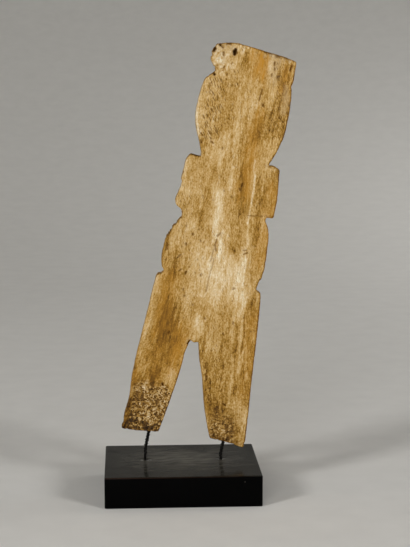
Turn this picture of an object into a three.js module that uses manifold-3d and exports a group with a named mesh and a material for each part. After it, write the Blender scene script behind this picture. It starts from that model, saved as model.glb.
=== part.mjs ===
// A flat human figure carved from a split long bone, held up by two thin steel rods on a small black plinth.
// Millimetres, +Z up. The origin is the centre of the plinth's underside, and the bone's hollow side faces -Y.
import * as THREE from 'three';
import { mergeVertices } from 'three/addons/utils/BufferGeometryUtils.js';
import Module from 'manifold-3d';

// The plinth, a sawn block with its edges just broken
const PLINTH = { width: 50, depth: 40, height: 10, bevel: 0.4 };

// The rods stand in blind holes in the plinth and in the soles, with a little room around them
const ROD = { radius: 0.45, sides: 12, y: 1.8, inPlinth: 6, inFoot: 7, bend: 1.2, step: 1 };
const CLEARANCE = 0.3;

// Where each rod stands on the plinth, and where it enters the sole, in the figure's own axes
const RODS = {
  left_rod: { standsAt: -11.8, entersAt: -7.3, sole: -31.6 },
  right_rod: { standsAt: 13, entersAt: 17.4, sole: -30.6 },
};

// The figure's own axes start at the fork of its legs and lean to the viewer's right
const FORK = new THREE.Vector3(3, 0, 49.7);
const LEAN = THREE.MathUtils.degToRad(11.5);
const LEAN_AXIS = new THREE.Vector3(0, 1, 0);

// A slice of the bone's wall: its middle, its two arcs, the widest reach to each side, and its ends
const WALL = {
  middle: 2.5,
  front: { y: 0.2, radius: 120 },
  back: { y: 5.2, radius: 70 },
  reach: 24,
  steps: 24,
  bottom: -40,
  top: 105,
};
const SLAB = 20;

// Landmarks down each side: [reach from the middle line, height above the fork]
const RIGHT_SIDE = {
  headdress: [[11.2, 95.5], [15.3, 94.7], [15.7, 88.2], [15.3, 86.7]],
  head: [[15.6, 85.8], [16.3, 80.5], [16.3, 71.5], [15, 65.4], [13.5, 61.4]],
  arm: [[13.5, 60.7], [15, 61], [17.1, 60.2], [18.3, 50.5], [18.3, 44.4], [16.1, 44.2]],
  hip: [[15.9, 43.3], [17.7, 39.8], [18.4, 34.7], [18.8, 28], [18.5, 24.3]],
  knee: [[18, 23.8], [17.5, 20.6], [19.2, 19.9]],
  leg: [[19.5, 18.7], [20.7, 8], [22.2, -8.7], [23.4, -20.5], [24.2, -29.8]],
  sole: [[23.8, -31.3], [18.2, -30.7], [12.6, -30.5], [11.8, -28.6]],
  inside: [[11, -26.5], [8.8, -20.3], [6.4, -11.7], [4.2, -5.4], [2.9, -0.4]],
};
const LEFT_SIDE = {
  headdress: [[3.8, 96.8], [6.9, 96.4], [10.8, 95.2], [11.8, 92.5], [11.5, 90], [9.2, 87]],
  head: [[10.3, 85.8], [12.3, 83.1], [13, 75], [12.3, 69.6], [10.1, 64.2], [8.6, 60.7]],
  arm: [[8.5, 59.4], [11.9, 59.7], [13, 57.6], [13.3, 51], [12.7, 50.3], [13.9, 44.4], [13.4, 42.7], [11, 41.2]],
  hip: [[11, 38.9], [13.1, 35.4], [14.4, 31.8], [14.6, 26], [13.9, 22.4]],
  knee: [[12.9, 21.1], [13.4, 20.2], [14.7, 19.8]],
  leg: [[15.1, 18.7], [15.7, 5.5], [16.3, -7.3], [16.4, -15.4], [15.9, -21.9], [16.4, -27]],
  sole: [[16.4, -32.4], [11.8, -32.3], [4.3, -31.6]],
  inside: [[3.9, -29.6], [2.7, -21.5], [1.4, -11.2], [0.9, -3.6]],
};

// Where the legs part: a short shelf beside a sharp break, from the right leg to the left
const FORK_BREAK = [[2.7, 0.1], [1.1, -0.5], [0.1, 0.4], [-0.4, -1.2]];

// The features that are one smooth curve; the others run straight from mark to mark with softened corners
const SWELLS = ['head', 'hip', 'leg', 'inside'];
const SWELL_STEP = 1.2;
const CORNER = 0.5;

const wasm = await Module();
wasm.setup();

function toSolid(geometry) {
  geometry.deleteAttribute('normal');
  geometry.deleteAttribute('uv');
  const merged = mergeVertices(geometry);
  const mesh = new wasm.Mesh({
    numProp: 3,
    vertProperties: new Float32Array(merged.attributes.position.array),
    triVerts: new Uint32Array(merged.index.array),
  });
  return new wasm.Manifold(mesh);
}

function toGeometry(solid) {
  const { vertProperties, triVerts } = solid.getMesh();
  const geometry = new THREE.BufferGeometry();
  geometry.setAttribute('position', new THREE.BufferAttribute(vertProperties, 3));
  geometry.setIndex(new THREE.BufferAttribute(triVerts, 1));
  geometry.computeVertexNormals();
  return geometry;
}

function named(name, geometry, color, roughness, metalness) {
  const mesh = new THREE.Mesh(geometry, new THREE.MeshStandardMaterial({ color, roughness, metalness }));
  mesh.name = name;
  return mesh;
}

function swell(marks) {
  const curve = new THREE.SplineCurve(marks);
  return curve.getSpacedPoints(Math.ceil(curve.getLength() / SWELL_STEP));
}

function corners(marks) {
  const towards = (corner, other) => {
    const cut = Math.min(CORNER, corner.distanceTo(other) / 3);
    return corner.clone().add(other.clone().sub(corner).setLength(cut));
  };
  const bends = marks.slice(1, -1).flatMap((corner, i) => {
    const bend = new THREE.QuadraticBezierCurve(towards(corner, marks[i]), corner, towards(corner, marks[i + 2]));
    return bend.getPoints(2);
  });
  return [marks[0], ...bends, marks.at(-1)];
}

// One side of the outline, from the headdress down, round the sole and up inside the leg
function side(features, outward) {
  return Object.entries(features).flatMap(([name, marks]) => {
    const points = marks.map(([reach, height]) => new THREE.Vector2(outward * reach, height));
    return SWELLS.includes(name) ? swell(points) : corners(points);
  });
}

function outline() {
  const fork = corners(FORK_BREAK.map(([x, y]) => new THREE.Vector2(x, y)));
  return new THREE.Shape([...side(RIGHT_SIDE, 1), ...fork, ...side(LEFT_SIDE, -1).reverse()]);
}

// The outline stands along Z, and its thickness runs along Y
function slab() {
  const geometry = new THREE.ExtrudeGeometry(outline(), { depth: SLAB, bevelEnabled: false });
  return toSolid(geometry.rotateX(Math.PI / 2).translate(0, SLAB / 2, 0));
}

// Both faces of the wall are arcs about an axis in front of the figure, so one is hollow and the other round
function arc({ y, radius }) {
  return Array.from({ length: WALL.steps + 1 }, (_, i) => {
    const x = WALL.reach * (2 * i / WALL.steps - 1);
    return new THREE.Vector2(WALL.middle + x, y - radius + Math.sqrt(radius ** 2 - x ** 2));
  });
}

function boneWall() {
  const section = new THREE.Shape([...arc(WALL.front), ...arc(WALL.back).reverse()]);
  const geometry = new THREE.ExtrudeGeometry(section, { depth: WALL.top - WALL.bottom, bevelEnabled: false });
  return toSolid(geometry.translate(0, 0, WALL.bottom));
}

function rodHole(x, bottom, top) {
  const radius = ROD.radius + CLEARANCE;
  const bore = new THREE.CylinderGeometry(radius, radius, top - bottom, ROD.sides);
  return toSolid(bore.rotateX(Math.PI / 2).translate(x, ROD.y, (bottom + top) / 2));
}

function figure() {
  const drilled = Object.values(RODS).reduce(
    (bone, { entersAt, sole }) => bone.subtract(rodHole(entersAt, sole - 3, sole + ROD.inFoot + CLEARANCE)),
    slab().intersect(boneWall()),
  );
  const placed = new THREE.Group();
  placed.add(named('figurine', toGeometry(drilled), 0xc9a468, 0.5, 0));
  placed.position.copy(FORK);
  placed.setRotationFromAxisAngle(LEAN_AXIS, LEAN);
  return placed;
}

function plinth() {
  const { width, depth, height, bevel } = PLINTH;
  const [x, y] = [width / 2 - bevel, depth / 2 - bevel];
  const base = new THREE.Shape([[-x, -y], [x, -y], [x, y], [-x, y]].map(([a, b]) => new THREE.Vector2(a, b)));
  const block = new THREE.ExtrudeGeometry(base, {
    depth: height - 2 * bevel,
    bevelSize: bevel,
    bevelThickness: bevel,
    bevelSegments: 2,
  });
  const drilled = Object.values(RODS).reduce(
    (solid, { standsAt }) => solid.subtract(rodHole(standsAt, height - ROD.inPlinth - CLEARANCE, height + 1)),
    toSolid(block.translate(0, 0, bevel)),
  );
  return named('plinth', toGeometry(drilled), 0x0c0b0a, 0.3, 0);
}

// A rod rises straight from the plinth, bends once and goes up into the foot in line with the leg
function rod(name, { standsAt, entersAt, sole }) {
  const up = new THREE.Vector3(0, 0, 1);
  const along = up.clone().applyAxisAngle(LEAN_AXIS, LEAN);
  const mouth = new THREE.Vector3(entersAt, ROD.y, sole).applyAxisAngle(LEAN_AXIS, LEAN).add(FORK);
  const bend = mouth.clone().addScaledVector(along, (standsAt - mouth.x) / along.x);
  const foot = new THREE.Vector3(standsAt, ROD.y, PLINTH.height - ROD.inPlinth);
  const below = bend.clone().addScaledVector(up, -ROD.bend);
  const above = bend.clone().addScaledVector(along, ROD.bend);
  const path = new THREE.CurvePath();
  path.add(new THREE.LineCurve3(foot, below));
  path.add(new THREE.QuadraticBezierCurve3(below, bend, above));
  path.add(new THREE.LineCurve3(above, mouth.clone().addScaledVector(along, ROD.inFoot)));
  const section = new THREE.Shape().absarc(0, 0, ROD.radius, 0, 2 * Math.PI);
  const geometry = new THREE.ExtrudeGeometry(section, {
    steps: Math.ceil(path.getLength() / ROD.step),
    extrudePath: path,
    curveSegments: ROD.sides,
  });
  return named(name, toGeometry(toSolid(geometry)), 0x1c1b1a, 0.45, 0.8);
}

const group = new THREE.Group();
group.add(plinth(), figure(), ...Object.entries(RODS).map(([name, place]) => rod(name, place)));
export default group;
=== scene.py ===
# %% [markdown]
# # A carved bone figure on two rods
#
# The real object is a flat human figure, about 13 cm tall, carved from the wall of a split long bone. Two
# blackened steel rods come out of its soles and stand in a small block of black lacquered wood. This script
# gives each of those four pieces its finished surface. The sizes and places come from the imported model, which
# is loaded first and is never moved.

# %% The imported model
import bpy
import numpy as np
from mathutils import Euler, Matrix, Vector
from mathutils.geometry import delaunay_2d_cdt


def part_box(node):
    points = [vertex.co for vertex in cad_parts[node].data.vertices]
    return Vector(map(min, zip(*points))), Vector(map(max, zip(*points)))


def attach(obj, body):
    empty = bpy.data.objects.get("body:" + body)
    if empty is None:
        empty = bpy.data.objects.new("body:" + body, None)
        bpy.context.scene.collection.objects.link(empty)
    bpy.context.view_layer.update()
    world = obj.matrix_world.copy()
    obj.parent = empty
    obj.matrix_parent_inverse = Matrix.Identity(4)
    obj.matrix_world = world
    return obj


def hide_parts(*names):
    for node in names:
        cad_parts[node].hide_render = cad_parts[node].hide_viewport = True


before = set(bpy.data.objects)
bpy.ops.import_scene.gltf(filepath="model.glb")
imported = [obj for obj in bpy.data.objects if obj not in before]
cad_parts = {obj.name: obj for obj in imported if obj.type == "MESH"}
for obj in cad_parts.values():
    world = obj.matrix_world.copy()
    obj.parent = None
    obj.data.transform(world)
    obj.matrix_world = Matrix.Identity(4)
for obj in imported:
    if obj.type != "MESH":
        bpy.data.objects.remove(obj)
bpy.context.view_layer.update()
print("pieces in the packed model:", sorted(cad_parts))

# %% [markdown]
# ## The figure's own axes
#
# The figure leans to the right, but its maker worked along the bone. So every place on it is given as u,
# across, and v, along the bone, both in millimetres from the fork of the legs. One function turns those into
# Blender's metres. A lean kept in one place is easier to read than hundreds of leaning points.

# %% Across, along and up
MM = 0.001
FORK = (3.0, 49.7)
LEAN = np.radians(11.5)


def place(u, v, y):
    """u, v and y in millimetres to metres in the frame: a turn by the lean in the x-z plane, then a move."""
    x = FORK[0] + u * np.cos(LEAN) + v * np.sin(LEAN)
    z = FORK[1] - u * np.sin(LEAN) + v * np.cos(LEAN)
    return np.stack([x, y, z], -1) * MM


def figure_axes(points):
    """The turn and move of place(), undone: u and v of points given in millimetres of the frame."""
    x, z = points[:, 0] - FORK[0], points[:, 2] - FORK[1]
    return x * np.cos(LEAN) - z * np.sin(LEAN), x * np.sin(LEAN) + z * np.cos(LEAN)


# %% [markdown]
# ## Random patterns as arrays
#
# Bone is full of small irregular things: fibres, pores, cells, chips. Two patterns make nearly all of them.
# Value noise joins random numbers on a lattice with a smooth curve, and stretched along one axis it looks
# like fibres. Cell distances measure how far each place is from scattered points, which gives pores and
# spongy bone. Both take whole arrays, so they are quick. They end with a seed, a number of its own in each
# call, so no two patterns are alike and all are the same on every run.

# %% Noise and cells
TABLE = 512  # steps after which a pattern comes round again


def lattice(i, j, seed):
    """A random number from 0 to 1 for each pair of whole numbers, from a seeded table that wraps round."""
    return np.random.default_rng(seed).random((TABLE, TABLE))[i % TABLE, j % TABLE]


def noise(x, y, seed):
    """Value noise from -1 to 1: random numbers at whole-number points, joined by the curve 3t^2 - 2t^3."""
    i, j = np.floor(x).astype(int), np.floor(y).astype(int)
    s, t = (k * k * (3 - 2 * k) for k in (x - i, y - j))
    low = lattice(i, j, seed) * (1 - s) + lattice(i + 1, j, seed) * s
    high = lattice(i, j + 1, seed) * (1 - s) + lattice(i + 1, j + 1, seed) * s
    return 2 * (low * (1 - t) + high * t) - 1


def ripple(along, length, seed):
    """Value noise along one line, with bumps of the given length."""
    return noise(along / length, 0 * along, seed)


def cells(x, y, seed):
    """One random point in each unit square: distance to the nearest, to the second, the nearest's number."""
    i, j = np.floor(x).astype(int), np.floor(y).astype(int)
    away, own = [], []
    for di, dj in np.ndindex(3, 3):
        ci, cj = i + di - 1, j + dj - 1
        away.append(np.hypot(x - ci - lattice(ci, cj, seed), y - cj - lattice(ci, cj, seed + 1)))
        own.append(lattice(ci, cj, seed + 2))
    away, own = np.stack(away), np.stack(own)
    order = np.argsort(away, axis=0)
    nearest, second = np.take_along_axis(away, order[:2], 0)
    return nearest, second, np.take_along_axis(own, order[:1], 0)[0]


def ramp(x, start, end):
    """0 up to start, 1 from end on, and the curve 3t^2 - 2t^3 between them."""
    t = np.clip((x - start) / (end - start), 0, 1)
    return t * t * (3 - 2 * t)


def stroke(u, v, width, *points):
    """1 on the line through the points, fading away from it as exp(-(distance / width)^2)."""
    ends = [np.array(p, float) for p in (points if len(points) > 1 else points * 2)]
    nearest = np.full(np.shape(u), np.inf)
    for a, b in zip(ends, ends[1:]):
        run = b - a
        t = np.clip(((u - a[0]) * run[0] + (v - a[1]) * run[1]) / max(run @ run, 1e-9), 0, 1)
        nearest = np.minimum(nearest, np.hypot(u - a[0] - t * run[0], v - a[1] - t * run[1]))
    return np.exp(-((nearest / width) ** 2))


# %% [markdown]
# ## The outline
#
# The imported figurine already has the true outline, in short straight stretches. Reading it back from the
# model keeps the two alike. The front is the side whose faces look towards the viewer, so its border is made
# of the edges that only one front face uses, walked from the leftmost corner until the walk closes. It is
# then taken in even steps, its corners are worn round, and small nicks are cut along it, deeper where the
# real edge is ragged.

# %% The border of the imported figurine
def border(node, facing):
    """The closed border of the faces of a node that look along `facing`, in order, in millimetres."""
    data = node.data
    corners = np.array([vertex.co for vertex in data.vertices]) / MM
    places, number = np.unique(corners.round(4), axis=0, return_inverse=True)
    faces = [f for f in data.polygons if f.normal.dot(facing) > 0.5]
    edges = [(number[f.vertices[k]], number[f.vertices[k - 2]]) for f in faces for k in range(3)]
    after = dict(set(edges) - {(b, a) for a, b in edges})
    walk = [min(after, key=lambda corner: places[corner, 0])]
    while after[walk[-1]] != walk[0]:
        walk.append(after[walk[-1]])
    return places[walk]


packed_border = border(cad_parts["figurine"], Vector((0, -1, 0)))
print("corners on the packed outline:", len(packed_border))

# %% An evenly stepped, worn outline
EDGE_STEP = 0.25  # mm


def even_steps(u, v, step):
    """Points at equal steps along a closed line: each coordinate read off by the length walked so far."""
    u, v = np.append(u, u[0]), np.append(v, v[0])
    walked = np.append(0, np.cumsum(np.hypot(np.diff(u), np.diff(v))))
    marks = np.linspace(0, walked[-1], round(walked[-1] / step), endpoint=False)
    return np.interp(marks, walked, u), np.interp(marks, walked, v), marks


def outwards(u, v):
    """Unit vectors out of a closed line walked with its inside on the left: the tangent turned right."""
    du, dv = np.roll(u, -2) - np.roll(u, 2), np.roll(v, -2) - np.roll(v, 2)
    length = np.hypot(du, dv)
    return dv / length, -du / length


def worn_outline():
    """The border in even steps, its corners averaged round, with nicks cut inwards by noise along it."""
    u, v, along = even_steps(*figure_axes(packed_border), EDGE_STEP)
    u, v = (np.roll(w, 1) / 4 + w / 2 + np.roll(w, -1) / 4 for w in (u, v))
    ragged_waist = stroke(u, v, 2.2, (-11.4, 39.5), (-13.6, 34))
    chipped_corner = stroke(u, v, 2.5, (-12, 93), (-10.5, 87))
    soles = ramp(-v, 26, 30)
    cut = 0.06 * ramp(ripple(along, 1.7, 1), -0.2, 1)
    cut = cut + 0.05 * ramp(ripple(along, 0.6, 2), 0, 1)
    cut = cut + 0.30 * (ripple(along, 0.45, 3) > 0) * ragged_waist
    cut = cut + 0.35 * ramp(ripple(along, 0.8, 4), -0.1, 0.8) * chipped_corner
    cut = cut + 0.25 * ramp(ripple(along, 0.9, 5), 0, 0.8) * soles
    out_u, out_v = outwards(u, v)
    return u - cut * out_u, v - cut * out_v, along


edge_u, edge_v, edge_along = worn_outline()
print("points on the worn outline:", len(edge_u), " length in mm:", round(edge_along[-1]))

# %% [markdown]
# ## Points inside the outline
#
# A grid that knew nothing of the outline would leave steps along it. Here the surface is a scatter of points
# in staggered rows, close together where the bone is spongy and wider apart where it is smooth, with a few
# rows that follow the outline so that its rim can be rounded. A constrained triangulation joins them, and
# keeps the outline as it is.

# %% Distance from the outline
CHUNK = 300  # points measured at a time, to save memory


def distance_inside(u, v):
    """How far inside the outline each point is, negative outside: the distance to its nearest stretch, with
    the sign from counting how often a line to the right crosses it."""
    au, av = edge_u, edge_v
    bu, bv = np.roll(au, -1) - au, np.roll(av, -1) - av
    result = np.empty(len(u))
    for start in range(0, len(u), CHUNK):
        pu, pv = u[start : start + CHUNK, None] - au, v[start : start + CHUNK, None] - av
        t = np.clip((pu * bu + pv * bv) / (bu * bu + bv * bv), 0, 1)
        away = np.sqrt(((pu - t * bu) ** 2 + (pv - t * bv) ** 2).min(1))
        spans = (pv < 0) != (pv < bv)
        crossings = (spans & ((pu * bv < pv * bu) == (bv > 0))).sum(1)
        result[start : start + CHUNK] = np.where(crossings % 2, away, -away)
    return result


# %% Staggered rows and the triangulation
ROW_RISE, JITTER = 0.866, 0.12  # in steps
CROWDED, RIM_GAP = 0.93, 0.55  # share of its distance that a rim point keeps, and steps to the points inside


def staggered(step, seed):
    """Rows of points `step` apart, each row shifted by half a step from the last, then jittered."""
    rows = np.arange(edge_v.min(), edge_v.max(), step * ROW_RISE)
    columns = np.arange(edge_u.min(), edge_u.max(), step)
    u, v = np.meshgrid(columns, rows)
    u = u + step / 2 * (np.arange(len(rows)) % 2)[:, None]
    jitter = np.random.default_rng(seed).uniform(-JITTER, JITTER, (2, *u.shape)) * step
    return (u + jitter[0]).ravel(), (v + jitter[1]).ravel()


def rim_rows(offsets):
    """Rows that follow the outline inside it, at the given distances, thinned where they crowd a corner."""
    out_u, out_v = outwards(edge_u, edge_v)
    u = np.concatenate([edge_u - d * out_u for d in offsets])
    v = np.concatenate([edge_v - d * out_v for d in offsets])
    keep = distance_inside(u, v) > np.repeat(offsets, len(edge_u)) * CROWDED
    return u[keep], v[keep]


def filled(step_at, steps, offsets, seed):
    """The outline, its rim rows, and the staggered points of each step, where step_at asks for that step."""
    parts = [(edge_u, edge_v), rim_rows(offsets)]
    for step in steps:
        u, v = staggered(step, seed)
        wanted = step_at(u, v) == step
        u, v = u[wanted], v[wanted]
        keep = distance_inside(u, v) > max(offsets) + RIM_GAP * step
        parts.append((u[keep], v[keep]))
    u, v = (np.concatenate(part) for part in zip(*parts))
    points = [Vector(point) for point in np.stack([u, v], 1).tolist()]
    made = delaunay_2d_cdt(points, [], [list(range(len(edge_u)))], 1, 1e-6)
    print("filled with", len(u), "points and", len(made[2]), "triangles")
    return np.array(made[0]), np.array(made[2])


# %% [markdown]
# ## Where the bone is damaged or stained
#
# The front is the scraped inner side of the bone, and most of its character is in marks that sit at known
# places: the chalky corner of the headdress, the orange stain beside it, the brown streak on the chest, the
# pale channel and the crack below it, the brown left thigh. Each mark is one line of a table: how strong, how
# wide and the points it passes through. Noise stretched along the fibres frays their edges, though hardly
# those of the dark crust, so that none looks drawn with a brush.

# %% Marks on the front
FRONT_TONES = [  # strength, paler above 0 and browner below, then width and points in mm
    (0.35, 1.2, (-5.5, 95.5), (-1, 95.9)),  # pale band under the top edge
    (-0.35, 0.7, (-6.2, 87.8), (-5.0, 86.4)),
    (-0.25, 0.9, (-10.4, 91.0), (-9.8, 90.2)),
    (-0.30, 1.3, (-1.2, 92.2), (-1.0, 90.6)),  # smudge beside the large hole
    (0.30, 0.5, (7.6, 94.2), (7.9, 88)),  # pale edge of the orange stain
    (-0.45, 0.8, (12.2, 93.6), (11.9, 84.5)),  # brown streaks in the right corner of the headdress
    (-0.40, 0.5, (13.7, 93.4), (13.6, 88)),
    (-0.30, 0.4, (10.3, 92), (10.6, 86)),
    # painted highlight on the right corner of the headdress's top edge
    (0.45, 0.6, (13.4, 94.8), (14.6, 94.5)),
    (0.04, 3.0, (-8.3, 83), (-7.0, 72)),  # dashed side of the head
    (-0.20, 1.2, (-4.8, 76), (-4.2, 68)),
    (-0.20, 1.0, (-9.0, 66), (-7.0, 63)),
    (0.55, 0.6, (-12.3, 83), (-12.9, 76), (-12.3, 69.6), (-10.6, 65.5)),  # painted highlight where the light from the left catches the rim of the head
    (0.20, 2.4, (1.0, 84), (0.5, 76)),  # middle of the head
    (-0.30, 0.6, (12.4, 87), (12.2, 80), (13.2, 72)),  # brown lines inside the right margin
    (-0.25, 0.7, (11.0, 84), (10.8, 76)),
    (-0.14, 0.8, (10.0, 79), (11.6, 69)),
    (-0.22, 0.6, (8.8, 76), (9.4, 66)),
    (-0.06, 3.0, (10.5, 90), (11.4, 72)),
    (0.14, 2.6, (-7.6, 44), (-7.0, 38)),  # waist, left
    (-0.12, 4.0, (-9.0, -2), (-9.4, -13)),  # left leg
    (-0.10, 3.6, (14.0, -19), (19.0, -27)),  # right foot
    (-0.30, 0.9, (14.4, 77), (15.2, 70.5)),
    (-0.45, 0.3, (12.9, 75), (12.7, 71.6), (13.4, 69.8), (15.3, 69.0)),
    (0.22, 3.0, (-2, 66), (-1, 62)),  # neck
    (-0.32, 1.5, (7.0, 76), (6.6, 70)),  # brown streaks from the head down the chest
    (-0.38, 0.7, (5.6, 68), (5.2, 62), (4.9, 56)),
    (-0.38, 0.9, (7.4, 74), (7.6, 66), (8.0, 58)),
    (-0.26, 1.8, (7.2, 58), (6.9, 52), (8.2, 46)),
    (-0.36, 0.9, (6.2, 56), (6.2, 51.5)),
    (0.75, 0.35, (8.9, 61), (9.7, 55), (10.3, 49), (10.5, 43)),  # painted highlight along the ridge down the chest
    (0.30, 0.5, (10.6, 43), (11.0, 36), (11.4, 30)),
    (-0.25, 1.5, (15.8, 59), (16.8, 48)),  # right arm
    (-0.25, 2.4, (12.6, 55), (13.4, 47)),
    (-0.24, 1.3, (14.3, 43), (14.2, 37)),
    (0.35, 0.6, (-13.0, 58), (-12.9, 51), (-13.6, 46)),  # painted highlight along the left edge of the arm
    # pale patch on the left of the chest
    (0.20, 1.2, (-6.6, 50), (-5.8, 47)),
    (-0.28, 1.1, (-4.0, 56), (-4.1, 37)),  # waist, left of the channel
    (-0.22, 1.6, (-8.5, 45), (-7.5, 40)),
    (0.55, 1.5, (-0.6, 49), (0.6, 43), (0.8, 36)),  # pale channel
    (0.35, 0.9, (2.6, 57), (3.0, 51)),
    (0.30, 1.0, (3.2, 36), (4.2, 30)),
    (-0.38, 1.0, (6.4, 34), (7.2, 31.6)),  # blotch
    (-0.30, 0.5, (8.3, 31.4), (8.5, 30.6)),
    (0.45, 6.0, (2.0, 27), (6.0, 19)),  # pale belly
    (0.45, 2.4, (9.5, 27), (11.5, 19)),
    (0.35, 0.7, (11.6, 29), (13.6, 19), (14.6, 12)),
    (-0.45, 0.8, (-14.0, 33), (-14.3, 27), (-13.7, 23)),  # left hip
    (-0.35, 0.5, (-12.6, 27), (-10.0, 24.5)),
    (-0.35, 1.8, (-9.6, 28), (-9.0, 21)),
    (-0.42, 2.4, (-10.6, 22), (-10.0, 8), (-9.6, 1)),  # brown left thigh
    (-0.32, 5.0, (-9.0, 6), (-9.4, -12)),
    (-0.25, 2.8, (-5.4, 4), (-3.6, -10)),
    (0.20, 0.9, (-14.6, 17), (-15.0, 0)),
    (0.15, 1.2, (-9.4, -5), (-9.2, -9)),
    (0.25, 1.6, (-4.2, -11.5), (-4.4, -13.5)),
    (0.40, 1.3, (0.9, 8), (1.2, 3.4)),  # over the fork
    (-0.25, 1.2, (3.6, 2), (6.5, -8)),
    (-0.25, 1.7, (17.0, 16), (18.8, 2)),  # right hip and thigh
    (0.32, 0.45, (14.6, 15), (16.0, 4), (18.0, -6)),
    (0.24, 0.35, (16.6, 12), (18.4, 0), (20.0, -10)),
    (-0.32, 0.3, (15.6, 13), (17.2, 1), (19.0, -9)),
    (-0.24, 0.4, (13.4, 12), (14.9, 0)),
    (-0.15, 3.0, (18.5, 4), (21.5, -14)),
    (-0.13, 5.0, (10.0, -2), (16.0, -18)),  # right leg
    (-0.26, 0.7, (14.6, 3), (17.6, -14)),
    (-0.22, 0.5, (10.2, -1), (13.4, -15)),
    (-0.24, 0.8, (6.4, -8), (10.4, -19)),
    (-0.40, 4.0, (13.0, -22.5), (17.5, -28)),
    (0.60, 1.4, (14.0, -28.2), (18.5, -28.6)),
    (-0.50, 1.2, (13.0, -29.3), (19.0, -29.5)),
    (-0.45, 1.5, (-15.5, -14), (-15.2, -29)),  # stained outer edge of the left foot
    (-0.55, 1.5, (-16, -30.8), (-4, -30.4)),
    (-0.45, 1.1, (-16.0, -31.2), (-4.6, -31.0)),
    (0.90, 1.1, (-12.8, -17.6), (-11.8, -19.2)),  # pale struts in the spongy foot
    (0.70, 0.8, (-6.4, -18.2), (-5.6, -18.8)),
    (0.80, 0.9, (-11.6, -25.0), (-10.6, -25.8)),
    (0.70, 0.9, (-8.0, -28.2), (-7.2, -28.6)),
    (0.60, 0.9, (-9.6, -22.4), (-6.0, -23.6)),
    (-0.30, 2.0, (-9.6, -14), (-9.8, -15)),
]
FRONT_HONEY = [  # the same, for orange staining
    (1.00, 2.2, (4.4, 93), (4.6, 88.4)),
    (0.35, 1.2, (1.0, 96), (1.1, 94.6)),
    (0.45, 2.0, (7.2, 76), (7.0, 68)),
    (0.45, 2.2, (7.0, 64), (7.2, 50)),
    (0.35, 1.6, (13.0, 92), (12.6, 86)),
    (0.40, 3.0, (-10.4, 20), (-9.8, 4)),
    (0.40, 2.6, (-3.0, 2), (-3.0, -10)),
    (0.25, 5.0, (-9.0, 0), (-9.5, -12)),
    (0.30, 1.2, (-15.8, -13), (-15.6, -18)),
    (0.30, 2.4, (16.5, 54), (17.0, 30)),
    (0.25, 3.5, (19.0, 12), (21.0, -12)),
]
FRONT_GREY = [  # the same, for a grey bloom
    (0.30, 1.1, (14.0, 85), (14.3, 79)),
    (0.55, 0.7, (6.0, 95.8), (13.0, 95.2)),
    (0.60, 0.7, (-7.4, 95.7), (-6.2, 95.7)),
    (0.25, 1.8, (9.2, 93.5), (9.2, 88)),
    (0.20, 3.0, (-8.4, 93), (-8.0, 88)),
]
FRONT_CRUST = [  # the same, for dark crust, which keeps closer to its line
    (1.00, 0.42, (-7.7, 95.7), (-6.2, 96.2)),
    (0.90, 0.35, (-10.2, 95.0), (-9.0, 95.0)),
    (0.60, 0.20, (-5.6, 96.6), (0.0, 96.4), (4.4, 96.0)),
    (0.85, 0.34, (4.8, 95.9), (8.0, 95.6), (13.4, 94.9)),
    (0.60, 0.30, (8.6, 94.9), (10.4, 94.6)),
    (0.60, 0.25, (12.0, 60.6), (14.4, 60.5)),
    (0.75, 0.28, (15.6, 44.8), (17.9, 44.9)),
    (0.60, 0.25, (-11.6, 59.4), (-9.2, 59.4)),
    (0.55, 0.30, (-14.4, -15.6), (-10.0, -15.4), (-5.6, -15.8)),
    (0.60, 0.35, (-16.2, -31.9), (-11.0, -31.8), (-5.0, -31.2)),
    (0.70, 0.40, (12.6, -30.0), (18.0, -30.2)),
    (0.45, 0.70, (13.0, -29.2), (22.0, -30.2)),
    (0.26, 1.00, (-15.5, -16.0), (-15.3, -22), (-15.4, -29)),
]


def marked(u, v, marks, seed, fray=1.0):
    """The sum of all marks, each read at places that stretched noise has shifted, and thinned along the
    fibres. `fray` is the share of the usual shift."""
    frayed_u = u + fray * (0.5 * noise(u / 0.8, v / 5, seed) + 0.6 * noise(u / 2.2, v / 3.5, seed + 1))
    frayed_v = v + fray * 2.4 * noise(u / 0.6, v / 6, seed + 2)
    total = sum(strength * stroke(frayed_u, frayed_v, width, *points) for strength, width, *points in marks)
    return total * (1 + 0.45 * noise(u / 0.45, v / 4, seed + 3) + 0.25 * noise(u / 1.2, v / 1.5, seed + 4))


# %% [markdown]
# ## Pores, holes and cracks
#
# The sharp dark marks are real depth, not only colour, so they are cut into the mesh, and the same numbers
# later darken the material. The round ones are small bowls, the long ones are grooves. Scattered pores come
# from the cell pattern, and only some cells have one.

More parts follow.
